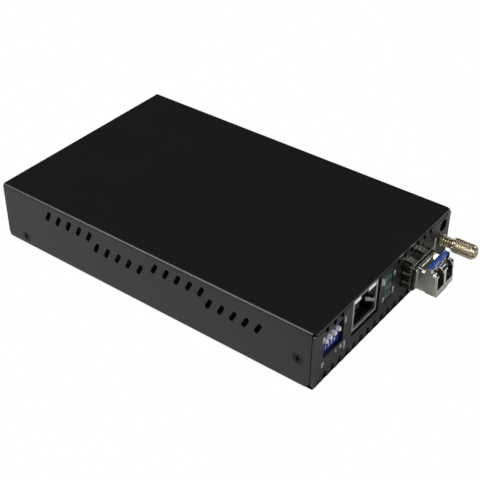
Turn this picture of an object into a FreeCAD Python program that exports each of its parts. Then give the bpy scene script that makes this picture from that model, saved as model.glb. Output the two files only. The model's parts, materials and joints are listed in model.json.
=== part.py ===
import FreeCAD, Part
import math
import os

# Fibre media converter. Millimetres; X across the case, Y from the front panel to the rear, Z up.
# The origin is the centre of the case's underside.

# Sheet metal case
case_length = 142.0
case_width = 90.0
sheet = 1.0
bend_inside = 0.5        # inside radius of the tray's folds
cover_bend = 0.2         # inside radius of the cover's sharper folds
shell_gap = 0.1          # between the cover and the tray inside it
headroom = 0.9           # between the network jack and the cover
cover_foot = 0.2         # the cover's walls end this far above the tray's underside
wall_setback = 1.3       # the cover's walls end this far behind the front face
wall_corner = 1.8        # rounding of the walls' lower corners
rear_setback = 0.4       # the rear panel sits this far inside the cover
relief = 0.2             # slits at the ends of the folds
lip_depth = 6.0
rear_return = 14.0
flange_height = 6.0
ear_length = 12.0        # raised front ends of the flanges, for the cover's screws
ear_height = 13.5
ear_corner = 3.0
panel_low_corner = 1.8
panel_high_corner = 1.0
window_corner = 0.4      # rounding of the windows in the front panel
past = 1.0               # how far a cut runs past the surface it opens

# Side vents: slanted slots in two rows, five at a time
vent_width = 1.8
vent_length = 5.0
vent_lean = 26.0         # degrees from upright, tops towards the front
vent_pitch = 5.16
vent_group = 5
vent_drop = 5.3          # upper row below the cover's top
vent_row_step = 3.6      # lower row below the upper row
vent_rear_margin = 23.4
vent_front_margin = 20.0

# Slots along the top and bottom of the front panel
slot_width = 1.8
slot_pitch = 4.5
slot_inset = 7.2         # first slot from the case's side
slot_reach = 3.4         # how far a slot runs on each side of its fold
slot_top_reach = 2.3
slot_clear = 2.6         # least distance to an opening

# Side screws, countersunk
side_screw_radius = 1.2
side_screw_length = 3.2
side_screw_front = 6.4   # behind the front face
side_screw_rise = 2.5    # above the board's top
rear_screw_inset = 9.7
rear_screw_height = 3.0
collar_wall = 0.7
collar_length = 1.2
recess_width = 0.55
recess_span = 2.4
recess_depth = 0.9

# Fits
thread_gap = 0.05
hole_gap = 0.2
running_gap = 0.05
slide_gap = 0.15

# Circuit board on pressed-in standoffs
board_thickness = 1.6
standoff_height = 5.4
standoff_radius = 2.75
standoff_tail = 2.0
board_gap = 0.6          # board's ends to the panels
board_side_gap = 1.7
board_corner = 2.0
post_side_inset = 9.0
post_front_inset = 16.0
post_rear_inset = 15.0
board_screw_radius = 1.2
board_screw_length = 5.6
board_screw_head = 2.6
board_screw_head_height = 1.7
board_screw_chamfer = 0.7

# Network jack, latch side up
jack_inset = 31.4        # jack's centre from the case's left side
jack_width = 15.9
jack_height = 13.5
jack_length = 21.0
jack_setback = 0.5
jack_window_gap = 0.8
jack_skin = 0.4
jack_rim = 0.9
port_width = 11.8
port_height = 6.9
port_floor = 1.6         # above the board
port_depth = 12.0
port_step_width = 6.6
port_step_height = 1.9
port_notch_width = 3.4
port_notch_height = 1.4
jack_lamp_width = 4.6
jack_lamp_height = 2.1
jack_lamp_depth = 4.0
contact_count = 8
contact_pitch = 1.02
contact_width = 0.45
contact_thick = 0.3
contact_run = 7.4
contact_rise = 3.6
contact_setback = 3.2    # wires' front ends behind the shield's face
contact_flat = 0.5       # on the port's floor, before they rise
ground_tongue_height = 1.8
ground_tongue_length = 5.0
ground_tongue_bend = 3.0
ground_tongue_reach = 0.3   # bowed past the port's side
ground_tongue_thick = 0.3
ground_tongue_rise = 3.8 # Four-way slide switch
switch_inset = 11.3
switch_width = 11.4
switch_height = 10.2
switch_depth = 6.2
switch_setback = 1.3
switch_window_gap = 0.3
lever_count = 4
lever_pitch = 2.54
lever_width = 1.1
lever_height = 1.4
lever_level = 7.8        # centre of a raised lever above the board
lever_travel = 2.0
lever_ahead = 0.2        # in front of the panel
lever_chamfer = 0.2
switch_chamfer = 0.3
lever_foot_width = 1.7
lever_foot_depth = 1.0
lever_neck = 2.2         # lever's neck inside the switch's face
window_rise = 1.65       # switch window's lower edge above the board
window_height = 9.65     # Status lamps
lamp_gap = 4.45          # beside the network jack
lamp_width = 5.0
lamp_height = 12.0
lamp_depth = 7.0
lamp_setback = 0.2
lamp_lens_radius = 0.95
lamp_lens_depth = 1.4
lamp_rows = 3
lamp_columns = 2
lamp_row_pitch = 3.9
lamp_column_pitch = 2.4

# Transceiver cage
cage_inset = 62.75
cage_width = 14.5
cage_height = 9.9
cage_wall = 0.3
cage_ahead = 4.8         # in front of the panel
cage_length = 48.6
cage_window_gap = 0.5
cage_corner = 0.45
finger_length = 2.8
finger_rise = 0.45       # a finger's tip stands this far off the cage
finger_thick = 0.2
finger_collar = 0.4
side_finger_height = 0.9
side_finger_levels = (3.0, 6.9)
top_finger_width = 2.8
top_finger_offset = 3.9
side_finger_ahead = 0.5  # tips in front of the panel
top_finger_ahead = 0.15

# Transceiver module
module_width = 13.4
module_height = 8.5
module_length = 56.5
module_floor_gap = 0.4
module_corner = 0.4
nose_gap = 0.6           # between the cage's mouth and the nose
nose_step = 0.3          # nose's underside above the body's
nose_length = 8.1
nose_rise = 1.1          # nose's top above the body
nose_chamfer = 1.0
nose_lean = 0.6          # the nose's face leans back this much at its top
foot_width = 8.2
foot_drop = 2.0
foot_setback = 0.7
foot_length = 6.6
foot_flat = 4.0
saddle_gap = 0.8         # behind the bail's shoulder
saddle_side = 1.2
saddle_drop = 1.4
fibre_pitch = 6.25
fibre_port_width = 4.7
fibre_port_height = 5.2
fibre_port_rise = 2.6
fibre_port_depth = 7.4
fibre_port_corner = 0.3
latch_slot_width = 3.0
latch_slot_depth = 3.2
barrel_radius = 1.45
barrel_bore = 0.63
barrel_length = 3.6
card_width = 9.8
card_thickness = 1.0
card_length = 12.5
card_rise = 2.5
card_setback = 4.4       # card's end inside the module's overall length
shell_past_card = 1.2
connector_wall = 0.7     # beside the card
connector_reach = 6.0    # in front of the card's end
connector_over = 1.3     # above the card
connector_chamfer = 0.4
connector_play = 0.5
hood_length = 8.5
hood_height = 5.3

# Bail that unlocks the module
bail_skin = 0.5
bail_gap = 0.12
bail_pivot_back = 2.5    # pivot behind the nose's face
bail_pivot_rise = 1.9    # pivot above the module's underside
bail_pin_radius = 0.6
bail_pin_depth = 0.7     # inside the nose
bail_below = 1.4         # bail's sides below the pivot
bail_over = 0.3          # and above the module's body
bail_corner = 0.3
bail_top_back = 6.9      # rear upper corner of the bail's side, behind the nose's face
bail_low_back = 4.1
bail_front_back = 0.9
bail_shoulder_back = 2.7
bail_shoulder_width = 2.4
bar_height = 1.9
bar_thick = 1.3
bar_core = 0.5
bar_core_height = 0.8
bar_corner = 0.45
grip_length = 11.7
bar_clear = 0.2          # bar above the nose
latch_width = 3.0
latch_length = 13.0
latch_thickness = 1.3
latch_travel = 1.2
latch_stub = 0.15        # latch below the module's body
latch_stub_length = 1.6
latch_slope = 0.8
latch_play = 0.5

# Captive thumbscrew
thumb_inset = 5.0
thumb_rise = 3.5         # above the board
thumb_radius = 2.95
thumb_length = 8.6
thumb_tip = 0.8
thumb_tip_radius = 2.3
thumb_bevel = 0.4
thumb_slot_width = 0.9
thumb_slot_depth = 1.3
thumb_neck = 4.4         # gap that the spring fills
thumb_shank = 1.5
thumb_tail = 6.0
bush_flange = 0.6
bush_flange_radius = 2.5
bush_radius = 2.1
bush_inside = 0.8
spring_wire = 0.5        # square wire
spring_radius = 1.85
spring_turns = 4.0
clip_radius = 2.5
clip_thickness = 0.5
clip_groove = 0.35
clip_mouth = 1.9         # opening on one side

# Plain round hole above the thumbscrew
hole_radius = 2.5
hole_rise = 10.1

# Power inlet at the rear
inlet_inset = 21.0       # inlet's axis from the case's right side
inlet_corner = 1.2
inlet_width = 9.0
inlet_height = 11.0
inlet_length = 13.4
inlet_axis = 6.5
inlet_collar = 4.0
inlet_bore = 2.85
inlet_depth = 9.5
inlet_pin = 1.05
inlet_pin_length = 8.6
inlet_pin_chamfer = 0.5
inlet_leaf_width = 1.6
inlet_leaf_thick = 0.3
inlet_leaf_length = 7.0
inlet_leaf_setback = 1.6 # behind the rear panel's face
inlet_leaf_bow = 0.7

# Parts on the board: centre from the case's left side and from the front face, then size
main_chip_place = (43.0, 57.0)
main_chip_size = (19.0, 19.0, 1.6)
sink_height = 7.0
sink_base = 1.6
sink_fins = 7
sink_fin = 0.9
sink_margin = 1.0
second_chip_place = (64.0, 66.0)
second_chip_size = (12.0, 12.0, 1.2)
second_chip_leads = 8    # along each of two sides
memory_place = (22.0, 52.0)
memory_size = (5.0, 4.0, 1.6)
memory_leads = 4
transformer_place = (31.4, 34.0)
transformer_size = (15.0, 11.0, 6.0)
transformer_leads = 10
crystal_place = (24.0, 66.0)
crystal_size = (11.0, 4.6, 3.4)
crystal_corner = 2.1

# Power parts: centre from the case's left side and from its rear end, then size
regulator_place = (40.0, 36.0)
regulator_size = (6.6, 6.1, 2.3)
regulator_leads = 3
inductor_place = (56.0, 42.0)
inductor_size = (10.0, 10.0, 4.6)
inductor_corner = 2.0
capacitor_places = ((71.0, 44.0), (71.0, 32.0), (56.0, 26.0))
capacitor_radius = 3.9
capacitor_height = 10.2
capacitor_base = 1.2
capacitor_foot = 8.0
capacitor_foot_corner = 0.8
lead_width = 0.5
lead_reach = 0.9
lead_thick = 0.2
package_chamfer = 0.25

# Worked-out places
half_width = case_width / 2
front = -case_length / 2
rear = case_length / 2
board_low = sheet + standoff_height
board_top = board_low + board_thickness
cover_under = board_top + jack_height + headroom
case_height = cover_under + sheet
tray_half = half_width - sheet - shell_gap
tray_top = cover_under - shell_gap
bend_outside = bend_inside + sheet
fold_half = tray_half - bend_outside
rear_face = rear - rear_setback
panel_back = front + sheet
rear_back = rear_face - sheet
side_head_radius = side_screw_radius + thread_gap + sheet
jack_x = jack_inset - half_width
jack_face = front + jack_setback
switch_x = switch_inset - half_width
switch_face = front + switch_setback
lamp_x = jack_x + jack_width / 2 + lamp_gap + lamp_width / 2
cage_x = cage_inset - half_width
cage_mouth = front - cage_ahead
thumb_x = half_width - thumb_inset
thumb_z = board_top + thumb_rise
hole_z = board_top + hole_rise
thumb_seat = front - bush_flange
thumb_under = thumb_seat - thumb_neck
inlet_x = half_width - inlet_inset
inlet_z = board_top + inlet_axis
module_low = board_top + cage_wall + module_floor_gap
module_top = module_low + module_height
nose_back = cage_mouth - nose_gap
nose_face = nose_back - nose_length
nose_top = module_top + nose_rise
module_end = nose_face + module_length
core_half = module_width / 2 - bail_skin - bail_gap
pivot_y = nose_face + bail_pivot_back
pivot_z = module_low + bail_pivot_rise
port_low = board_top + port_floor
lever_z = board_top + lever_level
finger_root = front - side_finger_ahead - finger_length
bar_y = nose_face + bail_shoulder_back + bail_shoulder_width / 2
bar_z = nose_top + bar_clear + bar_height / 2
fibre_port_low = module_low + fibre_port_rise
card_low = module_low + card_rise
card_end = module_end - card_setback
connector_half = card_width / 2 + connector_wall
connector_front = card_end - connector_reach
clip_front = panel_back + bush_inside + running_gap
clip_end = clip_front + clip_thickness
thumb_tip_end = thumb_under - thumb_length - thumb_tip
inlet_leaf_end = rear_face - inlet_leaf_setback


def at(x, y, z):
    return FreeCAD.Vector(x, y, z)


def block(x0, x1, y0, y1, z0, z1):
    low = at(min(x0, x1), min(y0, y1), min(z0, z1))
    return Part.makeBox(abs(x1 - x0), abs(y1 - y0), abs(z1 - z0), low)


def rod(radius, start, end):
    return Part.makeCylinder(radius, (end - start).Length, start, end - start)


def cone(radius_start, radius_end, start, end):
    return Part.makeCone(radius_start, radius_end, (end - start).Length, start, end - start)


def across_x(x):
    return lambda y, z: at(x, y, z)


def across_y(y):
    return lambda x, z: at(x, y, z)


def across_z(z):
    return lambda x, y: at(x, y, z)


def unit(vector):
    return FreeCAD.Vector(vector).normalize()


def rounded_face(corners, radius, place):
    """A flat face through the given corners, each rounded to one radius."""
    spots = [place(a, b) for a, b in corners]
    edges, joins = [], []
    for i, spot in enumerate(spots):
        back = unit(spots[i - 1] - spot)
        ahead = unit(spots[(i + 1) % len(spots)] - spot)
        half = back.getAngle(ahead) / 2
        reach = radius / math.tan(half)
        middle = unit(back + ahead) * (radius / math.sin(half) - radius)
        joins.append((spot + back * reach, spot + middle, spot + ahead * reach))
    for i, (entry, middle, leave) in enumerate(joins):
        edges.append(Part.Arc(entry, middle, leave).toShape())
        edges.append(Part.LineSegment(leave, joins[(i + 1) % len(joins)][0]).toShape())
    return Part.Face(Part.Wire(edges))


def plain_face(corners, place):
    spots = [place(a, b) for a, b in corners]
    return Part.Face(Part.makePolygon(spots + spots[:1]))


def prism_x(corners, x0, x1, radius=0.0):
    face = rounded_face(corners, radius, across_x(x0)) if radius else plain_face(corners, across_x(x0))
    return face.extrude(at(x1 - x0, 0, 0))


def prism_y(corners, y0, y1, radius=0.0):
    face = rounded_face(corners, radius, across_y(y0)) if radius else plain_face(corners, across_y(y0))
    return face.extrude(at(0, y1 - y0, 0))


def prism_z(corners, z0, z1, radius=0.0):
    face = rounded_face(corners, radius, across_z(z0)) if radius else plain_face(corners, across_z(z0))
    return face.extrude(at(0, 0, z1 - z0))


def turned(profile, x, z):
    """A solid turned about the line along Y through x and z, from a profile of (y, radius) pairs."""
    face = plain_face([(y, z + radius) for y, radius in profile], across_x(x))
    return face.revolve(at(x, 0, z), at(0, 1, 0), 360)


def fold(solid, axis, spots, radius):
    """Rounds the edges along one axis that pass through the given spots of the plane across it."""
    across = [k for k in range(3) if k != axis]
    picked = []
    for edge in solid.Edges:
        first, last = edge.Vertexes[0].Point, edge.Vertexes[-1].Point
        if abs(first[axis] - last[axis]) < 1e-6:
            continue
        for spot in spots:
            if all(abs(p[k] - value) < 1e-5 for p in (first, last) for k, value in zip(across, spot)):
                picked.append(edge)
    return solid.makeFillet(radius, picked)


def rectangle(a0, a1, b0, b1):
    return [(a0, b0), (a1, b0), (a1, b1), (a0, b1)]


def spread(count, pitch):
    """Offsets of evenly spaced copies about their middle."""
    return [(i - (count - 1) / 2) * pitch for i in range(count)]


# Case

def channel_outline(low, high, half, skin):
    """Outline of a channel that opens downwards, or upwards when high is under low."""
    web = skin if high > low else -skin
    return [(-half, low), (-half, high), (half, high), (half, low),
            (half - skin, low), (half - skin, high - web), (-half + skin, high - web), (-half + skin, low)]


def vent_places():
    count = int((case_length - vent_rear_margin - vent_front_margin) / vent_pitch) + 1
    shift = vent_row_step * math.tan(math.radians(vent_lean))
    places = []
    for i in range(count):
        low_row = (i // vent_group) % 2
        y = rear - vent_rear_margin - vent_pitch * i + shift * low_row
        places.append((y, case_height - vent_drop - vent_row_step * low_row))
    return places


def vent_cutter(y, z):
    straight = (vent_length - vent_width) / 2
    lean = math.radians(vent_lean)
    run = (-math.sin(lean) * straight, math.cos(lean) * straight)
    side = (math.cos(lean) * vent_width / 2, math.sin(lean) * vent_width / 2)
    corners = [(y + a * run[0] + b * side[0], z + a * run[1] + b * side[1])
               for a, b in ((1, 1), (1, -1), (-1, -1), (-1, 1))]
    reach = half_width + past
    tips = [(y + a * run[0], z + a * run[1]) for a in (1, -1)]
    ends = [rod(vent_width / 2, at(-reach, b, c), at(reach, b, c)) for b, c in tips]
    return prism_x(corners, -reach, reach).fuse(ends)


def side_screw_places():
    places = []
    for side in (-1, 1):
        places.append((side, front + side_screw_front, board_top + side_screw_rise))
        places.append((side, rear - rear_screw_inset, rear_screw_height))
    return places


def top_cover():
    """A channel with its side walls cut back at the front, so that the front panel closes the case there."""
    shell = prism_y(channel_outline(cover_foot, case_height, half_width, sheet), front, rear)
    shell = fold(shell, 1, [(s * half_width, case_height) for s in (-1, 1)], cover_bend + sheet)
    shell = fold(shell, 1, [(s * (half_width - sheet), cover_under) for s in (-1, 1)], cover_bend)
    wall_end = front + wall_setback
    flat = half_width - sheet - cover_bend
    shell = shell.cut([block(s * flat, s * (half_width + past), front - past, wall_end,
                             cover_foot - past, case_height + past) for s in (-1, 1)])
    shell = fold(shell, 0, [(wall_end, cover_foot), (rear, cover_foot)], wall_corner)
    cutters = [vent_cutter(y, z) for y, z in vent_places()]
    for side, y, z in side_screw_places():
        outer, inner = at(side * half_width, y, z), at(side * (half_width - sheet), y, z)
        cutters.append(cone(side_head_radius, side_head_radius - sheet, outer, inner))
    return shell.cut(cutters)


def panel_walls():
    """Base, front panel and rear panel, folded from one strip, with a lip along the top of each panel."""
    ends = [(front + lip_depth, tray_top), (front, tray_top), (front, 0), (rear_face, 0),
            (rear_face, tray_top), (rear_face - lip_depth, tray_top),
            (rear_face - lip_depth, tray_top - sheet), (rear_back, tray_top - sheet),
            (rear_back, sheet), (panel_back, sheet), (panel_back, tray_top - sheet),
            (front + lip_depth, tray_top - sheet)]
    half = fold_half - relief
    strip = prism_x(ends, -half, half)
    outer = [(y, z) for y in (front, rear_face) for z in (0, tray_top)]
    inner = [(y, z) for y in (panel_back, rear_back) for z in (sheet, tray_top - sheet)]
    return fold(fold(strip, 0, outer, bend_outside), 0, inner, bend_inside)


def fold_rooms(y0, y1):
    """Room in a panel for the folds along its lower and upper edge."""
    return [block(-fold_half, fold_half, y0, y1, -past, bend_outside + relief),
            block(-fold_half, fold_half, y0, y1, tray_top - bend_outside - relief, tray_top + past)]


def front_plate():
    """The front panel's flat sheet, as wide as the case and flush with the cover's walls."""
    plate = block(-half_width, half_width, front, panel_back, 0, tray_top)
    plate = fold(plate, 1, [(s * half_width, 0) for s in (-1, 1)], panel_low_corner)
    plate = fold(plate, 1, [(s * half_width, tray_top) for s in (-1, 1)], panel_high_corner)
    return plate.cut(fold_rooms(front - past, panel_back + past))


def rear_returns():
    """The rear panel with its two sides folded forwards inside the cover."""
    outline = channel_outline(rear_face - rear_return, rear_face, tray_half, sheet)
    strip = prism_z(outline, relief, tray_top - relief)
    strip = fold(strip, 2, [(s * tray_half, rear_face) for s in (-1, 1)], bend_outside)
    strip = fold(strip, 2, [(s * (tray_half - sheet), rear_back) for s in (-1, 1)], bend_inside)
    return strip.cut(fold_rooms(rear_back - past, rear_face + past))


def side_flanges():
    """The base's low sides, each raised at the front into an ear that carries a cover screw."""
    y0 = front + bend_outside + relief
    y1 = rear_face - rear_return - relief
    ear_back = y0 + ear_length
    strip = prism_y(channel_outline(ear_height, 0, tray_half, sheet), y0, y1)
    strip = fold(strip, 1, [(s * tray_half, 0) for s in (-1, 1)], bend_outside)
    strip = fold(strip, 1, [(s * (tray_half - sheet), sheet) for s in (-1, 1)], bend_inside)
    strip = strip.cut(block(-half_width, half_width, ear_back, y1 + past, flange_height, ear_height + past))
    return fold(strip, 0, [(y0, ear_height), (ear_back, ear_height)], ear_corner)


def slot_grid():
    count = int((case_width - 2 * slot_inset) / slot_pitch) + 1
    return [slot_inset - half_width + slot_pitch * i for i in range(count)]


def fold_slot(x, level, into, reach_up):
    """A slot round a fold of the front panel: level is the fold's outer face, into points inwards."""
    radius = slot_width / 2
    tip = level + into * (reach_up - radius)
    behind = panel_back + bend_inside
    upright = block(x - radius, x + radius, front - past, behind, level - into * past, tip)
    flat = block(x - radius, x + radius, front - past, front + slot_reach,
                 level - into * past, level + into * (sheet + bend_inside))
    return upright.fuse([flat, rod(radius, at(x, front - past, tip), at(x, behind, tip))])


def panel_slots():
    jack_left = jack_x - jack_width / 2 - jack_window_gap - slot_clear
    lamp_right = lamp_x + lamp_width / 2 + slot_clear
    hole_left = thumb_x - hole_radius - slot_width / 2 - slot_clear
    cutters = []
    for x in slot_grid():
        cutters.append(fold_slot(x, 0, 1, slot_reach))
        if x < jack_left or lamp_right < x < hole_left:
            cutters.append(fold_slot(x, tray_top, -1, slot_top_reach))
    return cutters


def front_openings():
    y0, y1 = front - past, panel_back + past
    half = jack_width / 2 + jack_window_gap
    jack = block(jack_x - half, jack_x + half, y0, front + lip_depth + past,
                 board_top - jack_window_gap - relief, case_height)
    half = switch_width / 2 + switch_window_gap
    window = rectangle(switch_x - half, switch_x + half, board_top + window_rise,
                       board_top + window_rise + window_height)
    switch = prism_y(window, y0, y1, window_corner)
    half = lamp_width / 2 + slide_gap
    lamps = block(lamp_x - half, lamp_x + half, y0, y1,
                  board_top - slide_gap, board_top + lamp_height + slide_gap)
    half = cage_width / 2 + cage_window_gap
    window = rectangle(cage_x - half, cage_x + half, board_top - cage_window_gap,
                       board_top + cage_height + cage_window_gap)
    cage = prism_y(window, y0, y1, window_corner)
    bush = rod(bush_radius, at(thumb_x, y0, thumb_z), at(thumb_x, y1, thumb_z))
    plain = rod(hole_radius, at(thumb_x, y0, hole_z), at(thumb_x, y1, hole_z))
    return [jack, switch, lamps, cage, bush, plain]


def base_tray():
    """One folded sheet: floor, front and rear panels with their lips, rear returns and side flanges."""
    tray = panel_walls().fuse([front_plate(), rear_returns(), side_flanges()])
    collars, holes = [], []
    inner = tray_half - sheet
    bore = side_screw_radius + thread_gap
    for side, y, z in side_screw_places():
        tip = inner - collar_length
        collars.append(rod(bore + collar_wall, at(side * (inner + sheet / 2), y, z), at(side * tip, y, z)))
        holes.append(rod(bore, at(side * (tray_half + past), y, z), at(side * (tip - past), y, z)))
    tray = tray.fuse(collars).removeSplitter()
    for x, y in post_places():
        holes.append(rod(standoff_tail, at(x, y, -past), at(x, y, sheet + past)))
    reach = inlet_collar + hole_gap
    holes.append(rod(reach, at(inlet_x, rear_back - past, inlet_z), at(inlet_x, rear_face + past, inlet_z)))
    return tray.cut(front_openings() + panel_slots() + holes)


def cover_screws():
    screws = []
    for side, y, z in side_screw_places():
        outer, seat = at(side * half_width, y, z), at(side * (half_width - sheet), y, z)
        tip = at(side * (half_width - side_screw_length), y, z)
        screw = cone(side_head_radius, side_head_radius - sheet, outer, seat).fuse(
            rod(side_screw_radius, seat, tip))
        deep, out = side * (half_width - recess_depth), side * (half_width + past)
        for wide, tall in ((recess_span, recess_width), (recess_width, recess_span)):
            screw = screw.cut(block(deep, out, y - wide / 2, y + wide / 2, z - tall / 2, z + tall / 2))
        screws.append(screw)
    return Part.makeCompound(screws)


# Circuit board and its fixings

def post_places():
    x = half_width - post_side_inset
    return [(side * x, y) for side in (-1, 1) for y in (front + post_front_inset, rear - post_rear_inset)]


def circuit_board():
    half = tray_half - sheet - board_side_gap
    outline = rectangle(-half, half, panel_back + board_gap, rear_back - board_gap)
    board = prism_z(outline, board_low, board_top, board_corner)
    holes = [rod(board_screw_radius + hole_gap, at(x, y, board_low - past), at(x, y, board_top + past))
             for x, y in post_places()]
    return board.cut(holes)


def board_standoffs():
    bore = board_screw_radius + thread_gap
    bore_floor = board_top - board_screw_length - thread_gap
    posts = []
    for x, y in post_places():
        post = rod(standoff_radius, at(x, y, sheet), at(x, y, board_low))
        post = post.fuse(rod(standoff_tail, at(x, y, 0), at(x, y, sheet)))
        posts.append(post.cut(rod(bore, at(x, y, bore_floor), at(x, y, board_low + past))))
    return Part.makeCompound(posts)


def board_screws():
    top = board_top + board_screw_head_height
    screws = []
    for x, y in post_places():
        shank = rod(board_screw_radius, at(x, y, board_top - board_screw_length), at(x, y, board_top))
        head = rod(board_screw_head, at(x, y, board_top), at(x, y, top))
        rim = [e for e in head.Edges if e.BoundBox.ZMin > top - board_screw_chamfer]
        screw = shank.fuse(head.makeChamfer(board_screw_chamfer, rim))
        for wide, tall in ((recess_span, recess_width), (recess_width, recess_span)):
            screw = screw.cut(block(x - wide / 2, x + wide / 2, y - tall / 2, y + tall / 2,
                                    top - recess_depth, top + past))
        screws.append(screw)
    return Part.makeCompound(screws)


# Network jack

def ground_tongue(side):
    """Spring tongue folded in from the shield's front edge, bowed towards the plug."""
    z = board_top + ground_tongue_rise
    wall = jack_width / 2 - jack_skin
    bow = wall - port_width / 2 + ground_tongue_reach
    outer = [(wall, 0), (wall - bow, ground_tongue_bend), (wall - bow / 2, ground_tongue_length)]
    inner = [(a - ground_tongue_thick, b) for a, b in reversed(outer)]
    corners = [(jack_x + side * a, jack_face + b) for a, b in outer + inner]
    return prism_z(corners, z, z + ground_tongue_height)


def jack_shield():
    half = jack_width / 2
    top = board_top + jack_height
    back = jack_face + jack_length
    can = block(jack_x - half, jack_x + half, jack_face, back, board_top, top)
    can = fold(can, 1, [(jack_x + s * half, top) for s in (-1, 1)], jack_skin)
    inside = block(jack_x - half + jack_skin, jack_x + half - jack_skin, jack_face + jack_skin,
                   back - jack_skin, board_top - past, top - jack_skin)
    mouth = block(jack_x - half + jack_rim, jack_x + half - jack_rim, jack_face - past,
                  jack_face + jack_skin + past, board_top + jack_rim, top - jack_skin)
    shell = can.cut([inside, mouth])
    front_bar = block(jack_x - half + jack_skin, jack_x + half - jack_skin, jack_face,
                      jack_face + jack_skin, board_top, board_top + jack_rim)
    return shell.fuse([front_bar, ground_tongue(-1), ground_tongue(1)]).removeSplitter()


def port_outline():
    """The plug's outline, latch side up."""
    shoulder = port_low + port_height
    step = shoulder + port_step_height
    notch = step + port_notch_height
    half, mid, tip = port_width / 2, port_step_width / 2, port_notch_width / 2
    right = [(half, port_low), (half, shoulder), (mid, shoulder), (mid, step), (tip, step), (tip, notch)]
    return [(jack_x + a, b) for a, b in right] + [(jack_x - a, b) for a, b in reversed(right)]


def jack_lamp_boxes(grow):
    top = board_top + jack_height - jack_skin
    y0 = jack_face + jack_skin
    boxes = []
    for side in (-1, 1):
        outer = jack_x + side * (jack_width / 2 - jack_rim)
        inner = outer - side * jack_lamp_width
        x0, x1 = min(outer, inner), max(outer, inner)
        boxes.append(block(x0, x1, y0 - grow, y0 + jack_lamp_depth, top - jack_lamp_height, top + grow))
    return boxes


def jack_housing():
    half = jack_width / 2 - jack_skin
    y0 = jack_face + jack_skin
    y1 = jack_face + jack_length - jack_skin
    body = block(jack_x - half, jack_x + half, y0, y1, board_top, board_top + jack_height - jack_skin)
    port = prism_y(port_outline(), y0 - past, y0 + port_depth)
    z = board_top + ground_tongue_rise - slide_gap
    channel = block(jack_x - half, jack_x + half, y0 - past, jack_face + ground_tongue_length + hole_gap,
                    z, z + ground_tongue_height + 2 * slide_gap)
    return body.cut([port, channel] + jack_lamp_boxes(past))


def jack_contacts():
    """Eight spring wires: flat on the port's floor at the front, then rising towards the back."""
    y0 = jack_face + contact_setback
    bend = y0 + contact_flat
    end = bend + contact_run
    low, high = port_low + contact_thick, port_low + contact_rise
    side_view = [(y0, port_low), (bend, port_low), (end, high),
                 (end, high + contact_thick), (bend, low), (y0, low)]
    wires = [prism_x(side_view, jack_x + dx - contact_width / 2, jack_x + dx + contact_width / 2)
             for dx in spread(contact_count, contact_pitch)]
    return Part.makeCompound(wires)


# Slide switch

def lever_box(x, grow, travel):
    """A lever's neck, grown by a gap and by its travel downwards."""
    return block(x - lever_width / 2 - grow, x + lever_width / 2 + grow,
                 front - lever_ahead - grow, switch_face + lever_neck,
                 lever_z - lever_height / 2 - grow - travel, lever_z + lever_height / 2 + grow)


def lever_foot(x, grow, travel):
    y0 = switch_face + lever_neck
    return block(x - lever_foot_width / 2 - grow, x + lever_foot_width / 2 + grow,
                 y0 - grow, y0 + lever_foot_depth + grow,
                 lever_z - lever_height / 2 - grow - travel, lever_z + lever_height / 2 + grow)


def lever_places():
    return [switch_x + dx for dx in spread(lever_count, lever_pitch)]


def face_edges(solid, y):
    """Edges of the solid that lie in the plane at y across the Y axis."""
    return [e for e in solid.Edges if abs(e.BoundBox.YMin - y) < 1e-4 and abs(e.BoundBox.YMax - y) < 1e-4]


def switch_body():
    half = switch_width / 2
    body = block(switch_x - half, switch_x + half, switch_face, switch_face + switch_depth,
                 board_top, board_top + switch_height)
    body = body.makeChamfer(switch_chamfer, face_edges(body, switch_face))
    slots = [lever_box(x, slide_gap, lever_travel) for x in lever_places()]
    feet = [lever_foot(x, slide_gap, lever_travel) for x in lever_places()]
    return body.cut(slots + feet)


def switch_lever(x):
    neck = lever_box(x, 0, 0)
    neck = neck.makeChamfer(lever_chamfer, face_edges(neck, front - lever_ahead))
    return neck.fuse(lever_foot(x, 0, 0)).removeSplitter()


# Status lamps

def lens_places():
    z = board_top + lamp_height / 2
    return [(lamp_x + dx, z + dz) for dx in spread(lamp_columns, lamp_column_pitch)
            for dz in spread(lamp_rows, lamp_row_pitch)]


def lamp_housing():
    y0 = front + lamp_setback
    half = lamp_width / 2
    body = block(lamp_x - half, lamp_x + half, y0, y0 + lamp_depth, board_top, board_top + lamp_height)
    pockets = [rod(lamp_lens_radius, at(x, y0 - past, z), at(x, y0 + lamp_lens_depth, z))
               for x, z in lens_places()]
    return body.cut(pockets)


def lamp_lenses():
    y0 = front + lamp_setback
    lenses = [rod(lamp_lens_radius, at(x, y0 - lamp_setback / 2, z), at(x, y0 + lamp_lens_depth, z))
              for x, z in lens_places()]
    return Part.makeCompound(lenses)


# Transceiver cage

def finger_strip(tip):
    """Outline of a spring finger, as pairs of a place along the cage and a distance out from its wall."""
    return [(finger_root, 0), (tip, finger_rise),
            (tip, finger_rise + finger_thick), (finger_root, finger_thick)]


def cage_springs():
    """A thin collar round the cage, with fingers that slant outwards to the panel on its sides and top."""
    half = cage_width / 2
    top = board_top + cage_height
    y0 = finger_root - finger_collar
    collar = block(cage_x - half - finger_thick, cage_x + half + finger_thick, y0, finger_root,
                   board_top - finger_thick, top + finger_thick)
    collar = collar.cut(block(cage_x - half, cage_x + half, y0 - past, finger_root + past, board_top, top))
    fingers = []
    for side in (-1, 1):
        outline = [(cage_x + side * (half + out), y) for y, out in finger_strip(front - side_finger_ahead)]
        for level in side_finger_levels:
            z = board_top + level
            fingers.append(prism_z(outline, z - side_finger_height / 2, z + side_finger_height / 2))
        outline = [(y, top + out) for y, out in finger_strip(front - top_finger_ahead)]
        x = cage_x + side * top_finger_offset
        fingers.append(prism_x(outline, x - top_finger_width / 2, x + top_finger_width / 2))
    return collar.fuse(fingers)


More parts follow.
